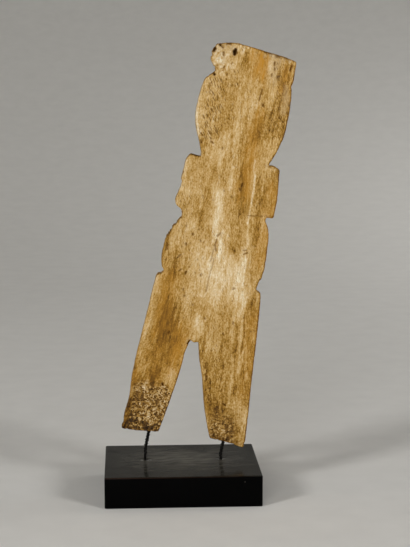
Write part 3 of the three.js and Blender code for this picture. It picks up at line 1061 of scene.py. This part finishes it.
BUNDLES = {  # width and length in mm, detail, and how far the tone swings
    "broad": (1.4, 6, 2, 0.45),
    "hair": (0.32, 6, 1, 0.4),
    "fine": (0.42, 1.8, 2, 1.05),
    "speck": (0.32, 0.6, 1, 1.15),
}
DASH_SLANT, DASH_WIDTH, DASH_LENGTH = 28, 0.42, 2.2  # degrees and mm
STAINS = (("honey", "#AE7B28", "MIX"), ("grey", "#A08C6E", "MIX"), ("dirt", "#957C46", "MULTIPLY"))


def bone_material():
    """Fibre coordinates in mm, divided by the size of a fibre bundle, drive tone, roughness and bump."""
    material, tree, shader = new_material("old_bone_carved_and_worn")
    grain = brought(tree, "grain", "Vector")
    mask = {key: brought(tree, key) for key in ("tone", "honey", "grey", "dirt", "rough", "dashes")}

    slanting = add(tree, "ShaderNodeMapping", {"Vector": grain, "Rotation": (0, np.radians(DASH_SLANT), 0)})
    dash_place = stretched(tree, slanting.outputs[0], DASH_WIDTH, DASH_WIDTH, DASH_LENGTH)
    reach = compute(tree, "MULTIPLY_ADD", mask["dashes"], 0.30, 0.11)
    dash = compute(tree, "SUBTRACT", reach, cells_at(tree, dash_place)[0])
    dash = ranged(tree, dash, 0, 0.10)
    mask["dirt"] = compute(tree, "MAXIMUM", mask["dirt"], compute(tree, "MULTIPLY", dash, 0.75))

    bundles, tone = {}, mask["tone"]
    calm = compute(tree, "MULTIPLY_ADD", mask["rough"], -0.5, 1.0)
    for key, (width, length, detail, amount) in BUNDLES.items():
        bundles[key] = noise_at(tree, stretched(tree, grain, width, width, length), detail)
        swing = compute(tree, "SUBTRACT", bundles[key], 0.5)
        swing = compute(tree, "MULTIPLY", swing, calm)
        tone = compute(tree, "MULTIPLY_ADD", swing, amount, tone)
    tones = add(tree, "ShaderNodeValToRGB", {0: ranged(tree, tone, -1, 1)})
    stops = tones.color_ramp.elements
    while len(stops) < len(BONE_RAMP):
        stops.new(0.5)
    for stop, (at, code) in zip(stops, BONE_RAMP):
        stop.position, stop.color = at, linear(code)

    colour = tones.outputs[0]
    for key, code, mode in STAINS:
        amount = compute(tree, "MAXIMUM", mask[key], 0.0, use_clamp=True)
        colour = layered(tree, amount, colour, code, mode)
    rough = compute(tree, "MULTIPLY_ADD", mask["rough"], 0.3, 0.46)
    rough = compute(tree, "MULTIPLY_ADD", bundles["fine"], 0.2, rough)
    rough = compute(tree, "MULTIPLY_ADD", mask["dirt"], 0.3, rough)
    height = compute(tree, "ADD", bundles["speck"], bundles["fine"])
    height = compute(tree, "MULTIPLY_ADD", dash, -0.8, height)
    connect(tree, shader, colour, rough, height, 1.0, 0.09 * MM)
    shader.inputs["IOR"].default_value = 1.2
    return material


figure.data.materials.append(bone_material())

# %% [markdown]
# ### Blackened steel wire
#
# The rods are steel wire, cold drawn and then chemically blackened. Drawing leaves fine lines along the
# wire, and blackening a dull skin that is rubbed thinner here and there, so roughness varies more than
# colour.

# %% Steel material
def steel_material():
    """Noise in millimetres, 0.15 mm across and 3 mm along, varies a near-black metal and its roughness."""
    material, tree, shader = new_material("blackened_steel_wire")
    place_on = add(tree, "ShaderNodeTexCoord").outputs["Object"]
    lines = noise_at(tree, stretched(tree, place_on, 0.15 * MM, 0.15 * MM, 3 * MM), 2)
    colour = layered(tree, lines, linear("#0C0B0A"), "#1C1A17")
    connect(tree, shader, colour, ranged(tree, lines, 0, 1, 0.38, 0.6), lines, 0.4, 0.008 * MM)
    shader.inputs["Metallic"].default_value = 0.9
    return material


steel = steel_material()
for rod in rods:
    rod.data.materials.append(steel)

# %% [markdown]
# ### Black lacquer on wood
#
# The block was sprayed or brushed with several coats of black lacquer and rubbed down to a satin gloss. Its
# front looks almost pure black, while its top, seen at a low angle, mirrors the pale room and the rods. A low
# index of refraction gives both. Rubbing leaves grey smear marks on the top, and a painted reflection, palest
# towards the middle, is laid in with them. The broken edge has worn brown, and a little dust lies on it.

# %% Lacquer material
def lacquer_material():
    """Streaks 1.2 by 12 mm vary the roughness, smear marks 1.6 by 6 mm lie on the top along with a painted
    reflection, and one in ten cells of 1.6 mm holds a grain of dust 0.2 mm wide."""
    material, tree, shader = new_material("black_satin_lacquer_on_wood")
    place_on = add(tree, "ShaderNodeTexCoord").outputs["Object"]
    streaks = noise_at(tree, stretched(tree, place_on, 12 * MM, 1.2 * MM, 1.2 * MM), 3)
    away, own = cells_at(tree, stretched(tree, place_on, 1.6 * MM, 1.6 * MM, 1.6 * MM))
    chance = add(tree, "ShaderNodeSeparateColor", {0: own}).outputs[0]
    dust = compute(tree, "MULTIPLY", ranged(tree, away, 0.09, 0.04), compute(tree, "LESS_THAN", chance, 0.10))
    wiped = add(tree, "ShaderNodeMapping", {"Vector": place_on, "Rotation": (0, 0, np.radians(-9))})
    smears_and_reflection = noise_at(tree, stretched(tree, wiped.outputs[0], 6 * MM, 1.6 * MM, 60 * MM), 6)
    # Grey only on the top: real smear marks and painted reflection.
    smears_and_reflection = compute(tree, "MULTIPLY", ranged(tree, smears_and_reflection, 0.15, 0.85), brought(tree, "smears_and_reflection_on_top"))
    colour = linear("#020202")
    for amount, code in ((smears_and_reflection, "#6E6A60"), (brought(tree, "worn"), "#3A2218"), (dust, "#6A655C")):
        colour = layered(tree, amount, colour, code)
    rough = ranged(tree, streaks, 0.3, 0.7, 0.12, 0.22)
    connect(tree, shader, colour, rough, streaks, 0.3, 0.01 * MM)
    shader.inputs["IOR"].default_value = 1.11
    return material


plinth.data.materials.append(lacquer_material())

# %% [markdown]
# ## The studio
#
# The floor is a matt grey card that curves up into a wall all round, like a wide bowl, so that no edge shows
# from any side. Its profile is a flat disc, a quarter circle and a straight rise, turned about the middle.

# %% Floor and wall
FLOOR_REACH, SWEEP, WALL_TOP = 0.5, 1.2, 2.0  # m
STAGE_SIDES = 96


def make_stage():
    """A profile of (reach, height) turned about the z axis: rows of circles, and a point in the middle."""
    turn = np.linspace(0, np.pi / 2, 16)[1:]
    floor = np.linspace(0.02, FLOOR_REACH, 14)
    reach = np.concatenate([floor, FLOOR_REACH + SWEEP * np.sin(turn), [FLOOR_REACH + SWEEP]])
    height = np.concatenate([0 * floor, SWEEP * (1 - np.cos(turn)), [WALL_TOP]])
    angle = np.linspace(0, 2 * np.pi, STAGE_SIDES, endpoint=False)
    circle = np.stack([np.cos(angle), np.sin(angle), 0 * angle], -1)
    points = (reach[:, None, None] * circle + height[:, None, None] * np.array([0, 0, 1])).reshape(-1, 3)
    points = np.concatenate([points, [[0, 0, 0]]])
    side = np.arange(STAGE_SIDES)
    middle = np.stack([(side + 1) % STAGE_SIDES, 0 * side + len(points) - 1, side], -1)
    return make_piece("studio_card", points, np.concatenate([strip(len(reach), STAGE_SIDES), middle]))


def card_material():
    """Matt card, with a very faint mottling about a centimetre wide."""
    material, tree, shader = new_material("matt_grey_studio_card")
    place_on = add(tree, "ShaderNodeTexCoord").outputs["Object"]
    mottle = add(tree, "ShaderNodeTexNoise", {"Vector": place_on, "Scale": 90.0, "Detail": 6}).outputs["Fac"]
    tree.links.new(layered(tree, mottle, linear("#DEDCD7"), "#E9E7E2"), shader.inputs["Base Color"])
    shader.inputs["Roughness"].default_value = 0.9
    return material


studio = make_stage()
studio.data.materials.append(card_material())

# %% [markdown]
# ## Light
#
# Three soft panels stand round the front: one at the left, which throws the long shadow to the right, a
# weaker one nearly in front, and one at the right. Their directions were read from the shadows in the
# photograph. Two faint panels shine on the card at the right, one behind the figure and one beside it, where
# the background is palest. None of them is seen by the camera. A dim grey world fills in.

# %% Lights
OBJECT_MIDDLE = (0.005, 0, 0.07)
CARD_BEHIND = (0.36, 0.72, 0.05)
CARD_RIGHT = (0.30, 0.42, 0)
# aim, degrees from the -y axis towards +x, degrees up, distance and width in m, beam in degrees, power in W
PANELS = {
    "left_panel": (OBJECT_MIDDLE, -50, 23, 1.1, 0.20, 180, 5.1),
    "front_panel": (OBJECT_MIDDLE, -17, 18, 1.1, 0.30, 180, 2.2),
    "right_panel": (OBJECT_MIDDLE, 46, 20, 1.1, 0.24, 180, 4.7),
    "card_panel": (CARD_BEHIND, 60, 35, 0.6, 0.25, 100, 0.52),
    "floor_panel": (CARD_RIGHT, 60, 50, 0.6, 0.30, 130, 0.52),
}


def add_panel(name, aim, turn, rise, distance, width, beam, power):
    """A square area light on a sphere round the place it is aimed at, turned to face it."""
    light = bpy.data.lights.new(name, "AREA")
    light.shape, light.size, light.energy, light.spread = "SQUARE", width, power, np.radians(beam)
    panel = bpy.data.objects.new(name, light)
    turn, rise = np.radians([turn, rise])
    towards = Vector((np.sin(turn) * np.cos(rise), -np.cos(turn) * np.cos(rise), np.sin(rise)))
    panel.location = Vector(aim) + towards * distance
    panel.rotation_euler = towards.to_track_quat("Z", "Y").to_euler()
    panel.visible_camera = False
    bpy.context.scene.collection.objects.link(panel)


for name, values in PANELS.items():
    add_panel(name, *values)
world = bpy.data.worlds.new("dim_grey_room")
world.use_nodes = True
background = world.node_tree.nodes["Background"]
background.inputs["Color"].default_value = linear("#A8A6A2")
background.inputs["Strength"].default_value = 0.115
bpy.context.scene.world = world

# %% [markdown]
# ## Camera
#
# The viewpoint was worked out from the photograph by fitting a camera to the six visible corners of the
# plinth. It stands 46 cm in front, as high as the figure's head, and looks 8 degrees down. The view transform
# is the plain one, so that a colour on the object is the same number in the picture when the light on it
# is 1.

# %% Camera and view
IMAGE_HEIGHT, FOCAL = 547, 1460  # pixels
SENSOR = 36.0
CAMERA_PLACE = (-18.56, -465.58, 138.36)  # mm
DOWNWARDS, TO_THE_RIGHT = 8.115, 3.238  # degrees
camera_data = bpy.data.cameras.new("camera")
camera_data.sensor_width = SENSOR
camera_data.lens = FOCAL / IMAGE_HEIGHT * SENSOR
camera = bpy.data.objects.new("camera", camera_data)
camera.location = Vector(CAMERA_PLACE) * MM
camera.rotation_euler = Euler(np.radians([90 - DOWNWARDS, 0, -TO_THE_RIGHT]))
bpy.context.scene.collection.objects.link(camera)
bpy.context.scene.camera = camera
bpy.context.scene.view_settings.view_transform = "Standard"
